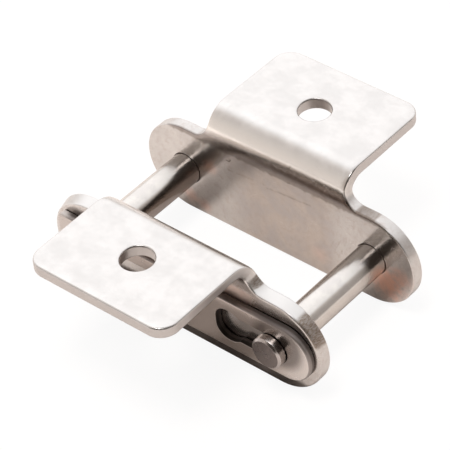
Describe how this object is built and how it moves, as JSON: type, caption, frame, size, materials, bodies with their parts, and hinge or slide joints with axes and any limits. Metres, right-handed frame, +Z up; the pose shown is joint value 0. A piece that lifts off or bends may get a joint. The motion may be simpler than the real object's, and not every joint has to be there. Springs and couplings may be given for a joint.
{
  "type": "roller chain connecting link",
  "caption": "Connecting link of a roller chain, with two pins, a spring clip and a bent attachment tab with a bolt hole on each side plate.",
  "frame": {"origin": "middle of the footprint, under the middle of the link, on the surface that the plates' straight lower edges stand on", "axes": "+X along the chain, towards the clip's closed end; +Y along the pins, from the cover plate to the riveted plate; +Z up, towards the faces of the tabs"},
  "size_m": [0.0548, 0.0628, 0.0223],
  "materials": {
    "plate_steel": "satin, tumbled",
    "pin_steel": "ground",
    "clip_steel": "polished"
  },
  "bodies": {
    "riveted_half": {"riveted_plate": "plate_steel", "left_pin": "pin_steel", "right_pin": "pin_steel", "spring_clip": "clip_steel"},
    "cover": {"cover_plate": "plate_steel"}
  },
  "joints": [
    {"name": "cover_plate_slide", "type": "slide", "parent": "riveted_half", "child": "cover", "axis": [0, 1, 0], "range_m": [0, 0.0205]}
  ]
}
